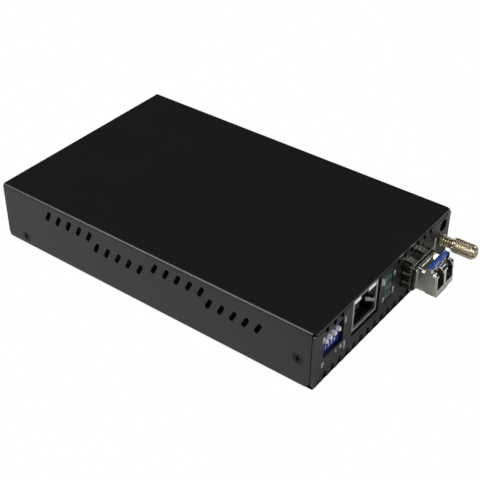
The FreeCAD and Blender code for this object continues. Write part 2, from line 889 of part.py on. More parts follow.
def transceiver_cage():
    half = cage_width / 2
    back = cage_mouth + cage_length
    top = board_top + cage_height
    can = block(cage_x - half, cage_x + half, cage_mouth, back, board_top, top)
    can = fold(can, 1, [(cage_x + s * half, z) for s in (-1, 1) for z in (board_top, top)], cage_corner)
    w = cage_wall
    inside = block(cage_x - half + w, cage_x + half - w, cage_mouth - past, back - w, board_top + w, top - w)
    room = connector_half + hole_gap
    below = block(cage_x - room, cage_x + room, connector_front - hole_gap, back - w, board_top - past,
                  board_top + 2 * w)
    return can.cut([inside, below])


def host_connector():
    top = card_low + card_thickness + connector_over
    back = cage_mouth + cage_length - cage_wall - hole_gap
    body = block(cage_x - connector_half, cage_x + connector_half, connector_front, back, board_top, top)
    lead_in = [e for e in face_edges(body, connector_front) if e.BoundBox.ZMin > top - past]
    body = body.makeChamfer(connector_chamfer, lead_in)
    half = card_width / 2 + slide_gap
    slot = block(cage_x - half, cage_x + half, connector_front - past, card_end + connector_play,
                 card_low - slide_gap, card_low + card_thickness + slide_gap)
    return body.cut(slot)


# Transceiver module

def module_card():
    corners = rectangle(cage_x - card_width / 2, cage_x + card_width / 2, card_end - card_length, card_end)
    return prism_z(corners, card_low, card_low + card_thickness)


def latch_groove():
    half = latch_width / 2 + slide_gap
    end = nose_back + latch_length + latch_travel + latch_play
    return block(cage_x - half, cage_x + half, nose_back - past, end,
                 module_low - past, module_low + latch_thickness + slide_gap)


def module_shell():
    half = module_width / 2
    end = card_end + shell_past_card
    body = block(cage_x - half, cage_x + half, nose_back, end, module_low, module_top)
    corners = [(cage_x + s * half, z) for s in (-1, 1) for z in (module_low, module_top)]
    body = fold(body, 1, corners, module_corner)
    hood_half = connector_half + 2 * slide_gap
    hood = block(cage_x - hood_half, cage_x + hood_half, end - hood_length, end + past,
                 module_low - past, module_low + hood_height)
    return body.cut([hood, module_card(), latch_groove()])


def fibre_ports():
    """Each port is square, with a slot for the plug's latch open to the nose's top."""
    cutters = []
    for dx in spread(2, fibre_pitch):
        x = cage_x + dx
        half = fibre_port_width / 2
        port = rectangle(x - half, x + half, fibre_port_low, fibre_port_low + fibre_port_height)
        cutters.append(prism_y(port, nose_face - past, nose_face + fibre_port_depth, fibre_port_corner))
        half = latch_slot_width / 2
        cutters.append(block(x - half, x + half, nose_face - past, nose_face + latch_slot_depth,
                             fibre_port_low + fibre_port_height / 2, nose_top + past))
    return cutters


def pin_rods(outer):
    """The bail's two pins, from inside the nose out to the given distance from its middle."""
    return [rod(bail_pin_radius, at(cage_x + s * (core_half - bail_pin_depth), pivot_y, pivot_z),
                at(cage_x + s * outer, pivot_y, pivot_z)) for s in (-1, 1)]


def module_nose():
    """Cast nose with two fibre ports, a foot below, and a saddle behind the place of the bail's bar."""
    low = module_low + nose_step
    brow = nose_face + nose_lean
    side_view = [(nose_face, low), (nose_back, low), (nose_back, nose_top),
                 (brow + nose_chamfer, nose_top), (brow, nose_top - nose_chamfer)]
    core = prism_x(side_view, cage_x - core_half, cage_x + core_half)
    foot_face = nose_face + foot_setback
    foot_low = low - foot_drop
    side_view = [(foot_face, low), (foot_face, foot_low), (foot_face + foot_flat, foot_low),
                 (foot_face + foot_length, low)]
    foot = prism_x(side_view, cage_x - foot_width / 2, cage_x + foot_width / 2)
    saddle_front = nose_face + bail_shoulder_back + bail_shoulder_width + saddle_gap
    saddle_half = core_half - saddle_side
    saddle = block(cage_x - saddle_half, cage_x + saddle_half, saddle_front, nose_back + past,
                   nose_top - saddle_drop, nose_top + past)
    return core.fuse(foot).cut([saddle, latch_groove()] + pin_rods(core_half + past) + fibre_ports())


def port_ferrules():
    z = fibre_port_low + fibre_port_height / 2
    wall = nose_face + fibre_port_depth
    front_end = wall - barrel_length
    profile = [(front_end, barrel_bore), (front_end, barrel_radius),
               (wall, barrel_radius), (wall, barrel_bore)]
    return Part.makeCompound([turned(profile, cage_x + dx, z) for dx in spread(2, fibre_pitch)])


def bail_pins():
    return Part.makeCompound(pin_rods(module_width / 2))


def bail_side(side):
    """Stamped side of the bail, with the shoulder that carries the bar."""
    low = pivot_z - bail_below
    top = module_top + bail_over
    bar_top = bar_z + bar_core_height / 2
    shoulder = bail_shoulder_back + bail_shoulder_width
    corners = [(nose_face + bail_front_back, low), (nose_face + bail_low_back, low),
               (nose_face + bail_top_back, top), (nose_face + shoulder, top),
               (nose_face + shoulder, bar_top), (nose_face + bail_shoulder_back, bar_top),
               (nose_face + bail_shoulder_back, top), (nose_face + bail_front_back, top)]
    x0 = cage_x + side * (core_half + bail_gap)
    x1 = x0 + side * bail_skin
    plate = prism_x(corners, x0, x1, bail_corner)
    hole = rod(bail_pin_radius + running_gap, at(x0 - side * past, pivot_y, pivot_z),
               at(x1 + side * past, pivot_y, pivot_z))
    return plate.cut(hole)


def module_bail():
    half = core_half + bail_gap
    bar = block(cage_x - half, cage_x + half, bar_y - bar_core / 2, bar_y + bar_core / 2,
                bar_z - bar_core_height / 2, bar_z + bar_core_height / 2)
    return bar.fuse([bail_side(-1), bail_side(1)]).removeSplitter()


def bail_grip():
    """Moulded sleeve round the bail's bar."""
    section = rectangle(bar_y - bar_thick / 2, bar_y + bar_thick / 2,
                        bar_z - bar_height / 2, bar_z + bar_height / 2)
    sleeve = prism_x(section, cage_x - grip_length / 2, cage_x + grip_length / 2, bar_corner)
    return sleeve.cut(module_bail())


def module_latch():
    """Slider in the module's underside that the bail draws back."""
    half = latch_width / 2
    y0 = nose_back
    end = nose_back + latch_length
    stub = end - latch_stub_length
    top = module_low + latch_thickness
    low = module_low - latch_stub
    side_view = [(y0, module_low), (stub - latch_slope, module_low), (stub, low),
                 (end, low), (end, top), (y0, top)]
    return prism_x(side_view, cage_x - half, cage_x + half)


# Captive thumbscrew

def thumb_axis(y):
    return at(thumb_x, y, thumb_z)


def thumbscrew_bush():
    """Ferrule pressed into the panel, with a flange outside and a short spigot inside."""
    bore = thumb_shank + running_gap
    inside = panel_back + bush_inside
    profile = [(thumb_seat, bore), (thumb_seat, bush_flange_radius), (front, bush_flange_radius),
               (front, bush_radius), (inside, bush_radius), (inside, bore)]
    return turned(profile, thumb_x, thumb_z)


def thumbscrew():
    """Turned in one piece: slotted tip, head, shank and the groove for the retaining ring."""
    head_end = thumb_tip_end + thumb_tip
    tail_end = panel_back + thumb_tail
    edge = thumb_radius - thumb_bevel
    root = thumb_shank - clip_groove
    groove_front, groove_end = clip_front - running_gap, clip_end + running_gap
    profile = [(thumb_tip_end, 0), (thumb_tip_end, thumb_tip_radius - thumb_bevel),
               (thumb_tip_end + thumb_bevel, thumb_tip_radius), (head_end, thumb_tip_radius),
               (head_end, edge), (head_end + thumb_bevel, thumb_radius),
               (thumb_under - thumb_bevel, thumb_radius), (thumb_under, edge), (thumb_under, thumb_shank),
               (groove_front, thumb_shank), (groove_front, root), (groove_end, root),
               (groove_end, thumb_shank), (tail_end, thumb_shank), (tail_end, 0)]
    half = thumb_slot_width / 2
    slot = block(thumb_x - thumb_radius, thumb_x + thumb_radius, thumb_tip_end - past,
                 thumb_tip_end + thumb_slot_depth, thumb_z - half, thumb_z + half)
    return turned(profile, thumb_x, thumb_z).cut(slot)


def thumbscrew_clip():
    """Retaining ring in the shank's groove, open on one side."""
    bore = thumb_shank - clip_groove + running_gap
    ring = turned([(clip_front, bore), (clip_front, clip_radius), (clip_end, clip_radius), (clip_end, bore)],
                  thumb_x, thumb_z)
    return ring.cut(block(thumb_x - clip_mouth / 2, thumb_x + clip_mouth / 2,
                          clip_front - past, clip_end + past, thumb_z, thumb_z + clip_radius + past))


def thumbscrew_spring():
    """Open coil of square wire between the bush and the head, with its ends ground flat."""
    helix = Part.makeHelix(thumb_neck / spring_turns, thumb_neck, spring_radius)
    w = spring_wire / 2
    section = plain_face(rectangle(spring_radius - w, spring_radius + w, -w, w), across_y(0)).OuterWire
    coil = Part.Wire(helix.Edges).makePipeShell([section], True, True)
    coil.rotate(at(0, 0, 0), at(1, 0, 0), 90)
    coil.translate(thumb_axis(thumb_seat))
    reach = spring_radius + spring_wire + past
    slab = block(thumb_x - reach, thumb_x + reach, thumb_under, thumb_seat, thumb_z - reach, thumb_z + reach)
    return coil.common(slab)


# Power inlet

def inlet_body():
    half = inlet_width / 2
    y1 = rear_back - slide_gap
    y0 = y1 - inlet_length
    top = board_top + inlet_height
    body = block(inlet_x - half, inlet_x + half, y0, y1, board_top, top)
    body = fold(body, 1, [(inlet_x + s * half, top) for s in (-1, 1)], inlet_corner)
    body = body.fuse(rod(inlet_collar, at(inlet_x, y1, inlet_z), at(inlet_x, rear_face, inlet_z)))
    bore = rod(inlet_bore, at(inlet_x, rear_face - inlet_depth, inlet_z),
               at(inlet_x, rear_face + past, inlet_z))
    return body.cut([bore, inlet_leaf_block(hole_gap)])


def inlet_leaf_block(grow):
    half = inlet_leaf_width / 2 + grow
    return block(inlet_x - half, inlet_x + half, inlet_leaf_end - inlet_leaf_length, inlet_leaf_end + grow,
                 inlet_z - inlet_bore - inlet_leaf_thick - grow, inlet_z)


def inlet_pin_solid():
    y0 = rear_face - inlet_depth
    end = y0 + inlet_pin_length
    profile = [(y0, 0), (y0, inlet_pin), (end - inlet_pin_chamfer, inlet_pin),
               (end, inlet_pin - inlet_pin_chamfer), (end, 0)]
    return turned(profile, inlet_x, inlet_z)


def inlet_leaf():
    """Bowed contact strip in the floor of the inlet's bore."""
    y0, y1 = inlet_leaf_end - inlet_leaf_length, inlet_leaf_end
    low = inlet_z - inlet_bore - inlet_leaf_thick - hole_gap
    top = low + inlet_leaf_thick
    side_view = [(y0, low), (y1, low), (y1, top), ((y0 + y1) / 2, top + inlet_leaf_bow), (y0, top)]
    return prism_x(side_view, inlet_x - inlet_leaf_width / 2, inlet_x + inlet_leaf_width / 2)


# Parts soldered to the board

def near_front(place):
    return place[0] - half_width, front + place[1]


def near_rear(place):
    return place[0] - half_width, rear - place[1]


def footprint(spot, wide, deep):
    x, y = spot
    return rectangle(x - wide / 2, x + wide / 2, y - deep / 2, y + deep / 2)


def package(spot, size, leads=0):
    """A moulded package with a chamfered top, and rows of leads on two sides."""
    x, y = spot
    wide, deep, tall = size
    top = board_top + tall
    body = prism_z(footprint(spot, wide, deep), board_top, top)
    rim = [e for e in body.Edges if e.BoundBox.ZMin > top - package_chamfer]
    body = body.makeChamfer(package_chamfer, rim)
    if not leads:
        return body
    pads = []
    for dx in spread(leads, wide / leads):
        for side in (-1, 1):
            edge = y + side * deep / 2
            pads.append(block(x + dx - lead_width / 2, x + dx + lead_width / 2,
                              edge, edge + side * lead_reach, board_top, board_top + lead_thick))
    return body.fuse(pads)


def heat_sink():
    x, y = near_front(main_chip_place)
    wide, deep = main_chip_size[0] + sink_margin, main_chip_size[1] + sink_margin
    low = board_top + main_chip_size[2]
    fin_low = low + sink_base
    base = prism_z(footprint((x, y), wide, deep), low, fin_low)
    fins = [prism_z(footprint((x + dx, y), sink_fin, deep), fin_low, low + sink_height)
            for dx in spread(sink_fins, (wide - sink_fin) / (sink_fins - 1))]
    return base.fuse(fins).removeSplitter()


def crystal_can():
    wide, deep, tall = crystal_size
    outline = footprint(near_front(crystal_place), wide, deep)
    return prism_z(outline, board_top, board_top + tall, crystal_corner)


def power_inductor():
    wide, deep, tall = inductor_size
    outline = footprint(near_rear(inductor_place), wide, deep)
    return prism_z(outline, board_top, board_top + tall, inductor_corner)


def storage_capacitors():
    can_low = board_top + capacitor_base
    cans = []
    for place in capacitor_places:
        x, y = near_rear(place)
        outline = footprint((x, y), capacitor_foot, capacitor_foot)
        foot = prism_z(outline, board_top, can_low, capacitor_foot_corner)
        can = rod(capacitor_radius, at(x, y, can_low), at(x, y, board_top + capacitor_height))
        cans.append(foot.fuse(can))
    return Part.makeCompound(cans)


def all_parts():
    parts = {
        "top_cover": top_cover(),
        "base_tray": base_tray(),
        "cover_screws": cover_screws(),
        "circuit_board": circuit_board(),
        "board_standoffs": board_standoffs(),
        "board_screws": board_screws(),
        "jack_shield": jack_shield(),
        "jack_housing": jack_housing(),
        "jack_contacts": jack_contacts(),
        "jack_lamps": Part.makeCompound(jack_lamp_boxes(0)),
        "switch_body": switch_body(),
        "lamp_housing": lamp_housing(),
        "lamp_lenses": lamp_lenses(),
        "transceiver_cage": transceiver_cage(),
        "cage_springs": cage_springs(),
        "host_connector": host_connector(),
        "module_shell": module_shell(),
        "module_nose": module_nose(),
        "module_card": module_card(),
        "port_ferrules": port_ferrules(),
        "bail_pins": bail_pins(),
        "module_bail": module_bail(),
        "bail_grip": bail_grip(),
        "module_latch": module_latch(),
        "thumbscrew_bush": thumbscrew_bush(),
        "thumbscrew": thumbscrew(),
        "thumbscrew_clip": thumbscrew_clip(),
        "thumbscrew_spring": thumbscrew_spring(),
        "inlet_body": inlet_body(),
        "inlet_pin": inlet_pin_solid(),
        "inlet_leaf": inlet_leaf(),
        "main_chip": package(near_front(main_chip_place), main_chip_size),
        "heat_sink": heat_sink(),
        "second_chip": package(near_front(second_chip_place), second_chip_size, second_chip_leads),
        "memory_chip": package(near_front(memory_place), memory_size, memory_leads),
        "regulator_chip": package(near_rear(regulator_place), regulator_size, regulator_leads),
        "line_transformer": package(near_front(transformer_place), transformer_size, transformer_leads),
        "crystal_can": crystal_can(),
        "power_inductor": power_inductor(),
        "storage_capacitors": storage_capacitors(),
    }
    for number, x in enumerate(lever_places(), start=1):
        parts[f"switch_lever_{number}"] = switch_lever(x)
    return parts


os.makedirs("parts", exist_ok=True)
for name, shape in all_parts().items():
    shape.exportStep(f"parts/{name}.step")
    state = "valid" if shape.isValid() else "BROKEN"
    print(name, len(shape.Solids), "solids", round(shape.Volume, 2), "mm3", state)
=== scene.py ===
import json
import math
import bmesh
import bpy
from mathutils import Matrix, Vector


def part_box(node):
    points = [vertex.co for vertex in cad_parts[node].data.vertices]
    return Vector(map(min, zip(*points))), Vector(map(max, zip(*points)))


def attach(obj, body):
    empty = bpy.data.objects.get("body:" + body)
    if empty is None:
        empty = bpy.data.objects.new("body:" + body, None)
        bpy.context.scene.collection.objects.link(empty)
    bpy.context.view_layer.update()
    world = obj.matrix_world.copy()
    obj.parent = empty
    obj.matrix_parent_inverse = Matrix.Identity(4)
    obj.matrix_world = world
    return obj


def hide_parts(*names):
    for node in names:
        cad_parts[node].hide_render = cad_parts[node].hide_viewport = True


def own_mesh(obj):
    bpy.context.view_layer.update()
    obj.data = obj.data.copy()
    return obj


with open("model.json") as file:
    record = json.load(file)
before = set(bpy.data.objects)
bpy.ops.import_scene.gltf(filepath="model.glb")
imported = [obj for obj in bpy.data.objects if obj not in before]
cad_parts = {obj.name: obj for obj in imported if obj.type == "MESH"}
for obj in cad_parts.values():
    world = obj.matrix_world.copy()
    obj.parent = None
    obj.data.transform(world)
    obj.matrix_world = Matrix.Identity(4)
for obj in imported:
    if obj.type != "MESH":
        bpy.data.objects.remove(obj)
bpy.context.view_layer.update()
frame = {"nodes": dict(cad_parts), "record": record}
print("frame loaded")

mm = 0.001


# Wraps an output socket, so that sums and products of values add their own Math nodes
class Wire:
    def __init__(self, board, socket):
        self.board = board
        self.socket = socket

    def math(self, operation, *values):
        return self.board.node("ShaderNodeMath", {"operation": operation}, dict(enumerate(values)))

    def __add__(self, other):
        return self.math("ADD", self, other)

    def __radd__(self, other):
        return self.math("ADD", other, self)

    def __sub__(self, other):
        return self.math("SUBTRACT", self, other)

    def __rsub__(self, other):
        return self.math("SUBTRACT", other, self)

    def __mul__(self, other):
        return self.math("MULTIPLY", self, other)

    def __rmul__(self, other):
        return self.math("MULTIPLY", other, self)

    def __abs__(self):
        return self.math("ABSOLUTE", self)

    def __lt__(self, other):
        return self.math("LESS_THAN", self, other)


# A node tree, with one method that adds any node
class Board:
    def __init__(self, tree):
        self.tree = tree

    def feed(self, target, value):
        if isinstance(value, Wire):
            self.tree.links.new(value.socket, target)
        else:
            target.default_value = value

    def node(self, kind, settings=None, sockets=None, output=0):
        made = self.tree.nodes.new(kind)
        for key, value in (settings or {}).items():
            setattr(made, key, value)
        for key, value in (sockets or {}).items():
            self.feed(made.inputs[key], value)
        return Wire(self, made.outputs[output])

    def parts(self, vector):
        split = self.node("ShaderNodeSeparateXYZ", None, {0: vector})
        return [Wire(self, output) for output in split.socket.node.outputs]

    # Plain white to the camera, while reflections and lamps still find the shader itself
    def whiteToCamera(self, shader, output, strength=1.0):
        rays = self.node("ShaderNodeLightPath", output="Is Camera Ray")
        white = self.node("ShaderNodeEmission", None, {"Strength": strength})
        sockets = {0: rays, 1: Wire(self, shader.outputs[0]), 2: white}
        self.feed(output.inputs[0], self.node("ShaderNodeMixShader", None, sockets))


# A material: what stays the same is set on its shader, and what changes over the surface is shown on it
class Finish(Board):
    def __init__(self, name, constants):
        self.material = bpy.data.materials.new(name)
        self.material.use_nodes = True
        super().__init__(self.material.node_tree)
        self.shader = self.tree.nodes["Principled BSDF"]
        for socket, value in constants.items():
            self.shader.inputs[socket].default_value = value
        self.place = self.node("ShaderNodeTexCoord", output="Object")

    def noise(self, scale, detail):
        sockets = {"Vector": self.place, "Scale": scale, "Detail": detail}
        return self.node("ShaderNodeTexNoise", None, sockets)

    # 0 up to low, 1 from high on, and a ramp between them
    def band(self, value, low, high):
        sockets = {"Value": value, "From Min": low, "From Max": high}
        return self.node("ShaderNodeMapRange", {"clamp": True}, sockets)

    def mix(self, mask, first, second):
        sockets = {0: mask, 6: (*first, 1), 7: (*second, 1)}
        return self.node("ShaderNodeMix", {"data_type": "RGBA"}, sockets, 2)

    # The look's colour, with patches that are darker by its shade
    def patches(self, mask, look):
        return self.mix(mask, look["colour"], [part * look["shade"] for part in look["colour"]])

    def bump(self, height, strength, depth):
        sockets = {"Height": height, "Strength": strength, "Distance": depth}
        self.feed(self.shader.inputs["Normal"], self.node("ShaderNodeBump", None, sockets))

    def show(self, socket, value):
        self.feed(self.shader.inputs[socket], value)


# Powder coat: fine grain, a slight orange peel, and a little variation in gloss
def powderCoat(name, look):
    coat = Finish(name, {"Specular IOR Level": look["gloss"]})
    peel = coat.noise(look["peel"], detail=1)
    grain = coat.noise(look["grain"], detail=2)
    cloud = coat.noise(look["cloud"], detail=3)
    coat.show("Base Color", coat.mix(coat.band(grain, *look["band"]), look["dark"], look["light"]))
    coat.show("Roughness", look["rough"] + look["cloudRough"] * cloud + look["grainRough"] * grain)
    coat.bump(peel * look["peelShare"] + grain * look["grainShare"], look["bump"], look["depth"])
    return coat.material


# Plated or bare metal: a fine grain, faint smudges and shallow dents in the plating
def metal(name, look):
    plate = Finish(name, {"Metallic": 1.0})
    grain = plate.noise(look["grain"], detail=2)
    smudge = plate.noise(look["smudge"], detail=3)
    mask = plate.band(smudge, *look["band"])
    plate.show("Base Color", plate.patches(mask, look))
    plate.show("Roughness", look["rough"] + look["smudgeRough"] * mask + look["grainRough"] * grain)
    plate.bump(grain + look["smudgeShare"] * smudge, look["bump"], look["depth"])
    return plate.material


# Moulded plastic: fine mould grain, and a slight change of tone
def plastic(name, look):
    mould = Finish(name, {"Specular IOR Level": look["gloss"]})
    grain = mould.noise(look["grain"], detail=2)
    cloud = mould.noise(look["cloud"], detail=2)
    mould.show("Base Color", mould.patches(mould.band(cloud, *look["band"]), look))
    mould.show("Roughness", look["rough"] + look["grainRough"] * grain)
    mould.bump(grain, look["bump"], look["depth"])
    return mould.material


# Clear or tinted lamp plastic, with a painted glow: it gives off a little light in its own colour
def lampPlastic(name, look):
    lens = Finish(name, {
        "Transmission Weight": look["clear"], "IOR": look["bend"], "Emission Strength": look["glow"]})
    cloud = lens.noise(look["cloud"], detail=2)
    colour = lens.patches(lens.band(cloud, *look["band"]), look)
    lens.show("Base Color", colour)
    lens.show("Emission Color", colour)
    lens.show("Roughness", look["rough"] + look["cloudRough"] * cloud)
    return lens.material


# Circuit board: solder mask with raised tracks running both ways
def boardMask(name, look):
    board = Finish(name, {"Coat Weight": look["coat"], "Coat Roughness": look["coatRough"]})
    across, along = board.parts(board.place)[:2]
    zone = board.band(board.noise(look["zone"], detail=1), *look["zoneBand"])
    run = across * zone + along * (1.0 - zone)
    wave = run.math("PINGPONG", run, look["pitch"] * mm)
    track = board.band(wave, *[share * look["pitch"] * mm for share in look["trackBand"]])
    board.show("Base Color", board.mix(track, look["colour"], look["copper"]))
    board.show("Roughness", look["rough"] + look["grainRough"] * board.noise(look["grain"], detail=2))
    board.bump(track, look["bump"], look["depth"])
    return board.material


metalBase = {
    "grain": 900, "smudge": 160, "band": (0.35, 0.7), "shade": 0.82, "rough": 0.2,
    "smudgeRough": 0.1, "grainRough": 0.06, "smudgeShare": 0.5, "bump": 0.12, "depth": 0.00001,
}
plasticBase = {
    "grain": 3000, "cloud": 90, "band": (0.3, 0.7), "shade": 0.85, "gloss": 0.5, "rough": 0.4,
    "grainRough": 0.1, "bump": 0.25, "depth": 0.00001,
}
lampBase = {"band": (0.3, 0.7), "bend": 1.5, "cloudRough": 0.1}

finishes = {
    "case_paint": powderCoat("casePaint", {
        "dark": (0.0036, 0.0041, 0.0039), "light": (0.0062, 0.0067, 0.0064), "band": (0.35, 0.7),
        "gloss": 0.5, "rough": 0.33, "cloudRough": 0.08, "grainRough": 0.05, "peel": 700, "grain": 3200,
        "cloud": 40, "peelShare": 0.6, "grainShare": 0.4, "bump": 0.25, "depth": 0.00003}),
    "screw_black": metal("screwBlack", {**metalBase, "colour": (0.035, 0.036, 0.036), "rough": 0.36}),
    "screw_nickel": metal("screwNickel", {**metalBase, "colour": (0.78, 0.7, 0.5), "rough": 0.17}),
    "screw_zinc": metal("screwZinc", {**metalBase, "colour": (0.6, 0.6, 0.6), "rough": 0.28}),
    "board_green": boardMask("boardGreen", {
        "colour": (0.012, 0.085, 0.04), "copper": (0.03, 0.16, 0.075), "coat": 0.3, "coatRough": 0.15,
        "zone": 60, "zoneBand": (0.45, 0.55), "pitch": 0.5, "trackBand": (0.45, 0.55),
        "rough": 0.3, "grainRough": 0.15, "grain": 1500, "bump": 0.4, "depth": 0.00003}),
    "jack_metal": metal("jackMetal", {**metalBase, "colour": (0.66, 0.66, 0.64), "rough": 0.26}),
    # The jack's plastic is black, made darker than the other black plastics so its inside reads black:
    # partly its own colour, partly painted shade
    "jack_plastic": plastic("jackPlastic", {
        **plasticBase, "colour": (0.002, 0.002, 0.002), "gloss": 0.15}),
    "contact_gold": metal("contactGold", {**metalBase, "colour": (0.86, 0.64, 0.28), "rough": 0.18}),
    "lamp_clear": lampPlastic("lampClear", {
        **lampBase, "colour": (0.9, 0.9, 0.84), "shade": 0.9, "cloud": 500,
        "clear": 0.15, "glow": 0.3, "rough": 0.25}),
    "switch_blue": plastic("switchBlue", {**plasticBase, "colour": (0.012, 0.026, 0.27), "rough": 0.36}),
    "lever_white": plastic("leverWhite", {**plasticBase, "colour": (0.95, 0.95, 0.92), "rough": 0.25}),
    "lamp_green": lampPlastic("lampGreen", {
        **lampBase, "colour": (0.009, 0.034, 0.02), "shade": 0.6, "cloud": 400,
        "clear": 0.2, "glow": 0.1, "rough": 0.22}),
    "lens_green": lampPlastic("lensGreen", {
        **lampBase, "colour": (0.05, 0.16, 0.1), "shade": 0.8, "cloud": 900,
        "clear": 0.3, "glow": 0.1, "rough": 0.15}),
    # cage_metal is the cage's steel darkened to stand in for the dark surroundings it reflects: painted
    # shade
    "cage_metal": metal("cageMetal", {**metalBase, "colour": (0.115, 0.112, 0.095), "rough": 0.22}),
    "connector_black": plastic("connectorBlack", {**plasticBase, "colour": (0.014, 0.014, 0.014)}),
    "module_metal": metal("moduleMetal", {**metalBase, "colour": (0.78, 0.76, 0.68), "rough": 0.12}),
    "bail_metal": metal("bailMetal", {**metalBase, "colour": (0.64, 0.63, 0.57), "rough": 0.24}),
    "grip_blue": plastic("gripBlue", {**plasticBase, "colour": (0.014, 0.075, 0.42), "rough": 0.34}),
    "ferrule_white": plastic("ferruleWhite", {**plasticBase, "colour": (0.7, 0.7, 0.66), "rough": 0.2}),
    "inlet_metal": metal("inletMetal", {**metalBase, "colour": (0.68, 0.66, 0.6), "rough": 0.2}),
    "chip_black": plastic("chipBlack", {**plasticBase, "colour": (0.016, 0.016, 0.018), "rough": 0.5}),
    "sink_black": metal("sinkBlack", {**metalBase, "colour": (0.045, 0.045, 0.048), "rough": 0.4}),
    "can_metal": metal("canMetal", {**metalBase, "colour": (0.7, 0.7, 0.7), "rough": 0.3}),
}
printWhite = plastic("printWhite", {**plasticBase, "colour": (0.8, 0.8, 0.78), "rough": 0.55})
# The cage's spring fingers keep that steel's own brightness here, unlike the painted-dark cage_metal
fingerSteel = metal("fingerSteel", {**metalBase, "colour": (0.6, 0.59, 0.53), "rough": 0.16})
print("finishes made")

nodeSlots = {row["node"]: row["material_slot"] for row in frame["record"]["subparts"]}
bodies = frame["record"]["behaviour"]["bodies"]
nodeBody = {node: body for body, nodes in bodies.items() for node in nodes}


def addPiece(name, mesh, body, material):
    piece = bpy.data.objects.new(name, mesh)
    bpy.context.scene.collection.objects.link(piece)
    mesh.materials.clear()
    mesh.materials.append(material)
    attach(piece, body)
    return piece


# How the CAD nodes are dressed: angles in degrees, the weld in metres
dressing = {"weld": 1e-7, "coplanar": 0.6, "crease": 28, "segments": 2}


def shadeByAngle(bm, degrees):
    for face in bm.faces:
        face.smooth = True
    for edge in bm.edges:
        edge.smooth = edge.calc_face_angle(0) < math.radians(degrees)


def softenEdges(piece, width):
    bevel = piece.modifiers.new("edges", "BEVEL")
    bevel.width = width * mm
    bevel.segments = dressing["segments"]
    bevel.limit_method = "ANGLE"
    bevel.angle_limit = math.radians(dressing["crease"])
    bevel.harden_normals = True


# A merged, smoothly shaded copy of a CAD node with its edges slightly rounded
def dressNode(node, width, reshape=None):
    bm = bmesh.new()
    bm.from_mesh(frame["nodes"][node].data)
    bmesh.ops.remove_doubles(bm, verts=bm.verts, dist=dressing["weld"])
    flat = math.radians(dressing["coplanar"])
    bmesh.ops.dissolve_limit(bm, angle_limit=flat, verts=bm.verts, edges=bm.edges)
    if reshape:
        reshape(bm)
    shadeByAngle(bm, dressing["crease"])
    words = node.split("_")
    name = words[0] + "".join(word.capitalize() for word in words[1:])
    mesh = bpy.data.meshes.new(name)
    bm.to_mesh(mesh)
    bm.free()
    if "custom_normal" in mesh.attributes:
        mesh.attributes.remove(mesh.attributes["custom_normal"])
    slot = nodeSlots[node]
    piece = addPiece(name, mesh, nodeBody[node], finishes[slot])
    softenEdges(piece, width)
    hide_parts(node)


# Width of the rounding on each node's edges, in millimetres
edgeWidths = {
    "top_cover": 0.12, "base_tray": 0.1, "cover_screws": 0.07, "jack_shield": 0.06, "jack_housing": 0.06,
    "jack_contacts": 0.06, "jack_lamps": 0.08, "switch_body": 0.08, "lamp_housing": 0.08,
    "lamp_lenses": 0.12, "transceiver_cage": 0.05, "cage_springs": 0.03, "module_shell": 0.06,
    "module_nose": 0.1, "port_ferrules": 0.06, "bail_pins": 0.06, "module_bail": 0.06, "bail_grip": 0.05,
    "module_latch": 0.06, "thumbscrew_bush": 0.06, "thumbscrew_clip": 0.05, "inlet_body": 0.1,
    "inlet_pin": 0.04, "inlet_leaf": 0.04, "board_standoffs": 0.1, "board_screws": 0.06,
    "switch_lever_1": 0.1, "switch_lever_2": 0.1, "switch_lever_3": 0.1, "switch_lever_4": 0.1,
}
remade = ("thumbscrew", "thumbscrew_spring")  # these two are made further down
for node, width in edgeWidths.items():
    dressNode(node, width)
for node, thing in frame["nodes"].items():
    if node not in edgeWidths and node not in remade:
        thing.data.materials.clear()
        thing.data.materials.append(finishes[nodeSlots[node]])
# The spring fingers get the bright copy of the cage's steel, the cage body its painted-dark copy
bpy.data.objects["cageSprings"].data.materials[0] = fingerSteel


# The insides of the two fibre ports in the nose get the dark connector plastic: partly the dark moulded
# sockets such ports have, partly painted shade for their deep hollows. The nose's own front stays plated.
ports = {"side": 0.9, "low": 11.3, "high": 16.5, "mouth": 2.0, "facing": 0.5}


def darkenPorts():
    low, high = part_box("module_nose")
    side = ports["side"] * mm
    mesh = bpy.data.objects["moduleNose"].data
    mesh.materials.append(finishes["connector_black"])
    for polygon in mesh.polygons:
        spot = polygon.center
        across = low.x + side < spot.x < high.x - side
        tall = ports["low"] * mm < spot.z < ports["high"] * mm
        inside = polygon.normal.y > -ports["facing"] or spot.y > low.y + ports["mouth"] * mm
        if across and tall and inside:
            polygon.material_index = 1


darkenPorts()
print("nodes dressed")


# Knurled head of the thumbscrew: a sleeve of raised diamonds over the head, which is turned down under it
knurl = {
    "around": 24, "rows": 9, "height": 0.2, "bevel": 0.45, "tip": 0.8, "neck": 9.4,
    "skin": 0.05, "edge": 0.05,
}
thumbLow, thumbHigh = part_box("thumbscrew")
thumbAxis = Vector(((thumbLow.x + thumbHigh.x) / 2, 0, (thumbLow.z + thumbHigh.z) / 2))
thumbRadius = (thumbHigh.x - thumbLow.x) / 2


def turnDownHead(bm):
    for vert in bm.verts:
        offset = Vector((vert.co.x - thumbAxis.x, 0, vert.co.z - thumbAxis.z))
        if offset.length > thumbRadius - knurl["skin"] * mm:
            vert.co -= offset.normalized() * knurl["height"] * mm


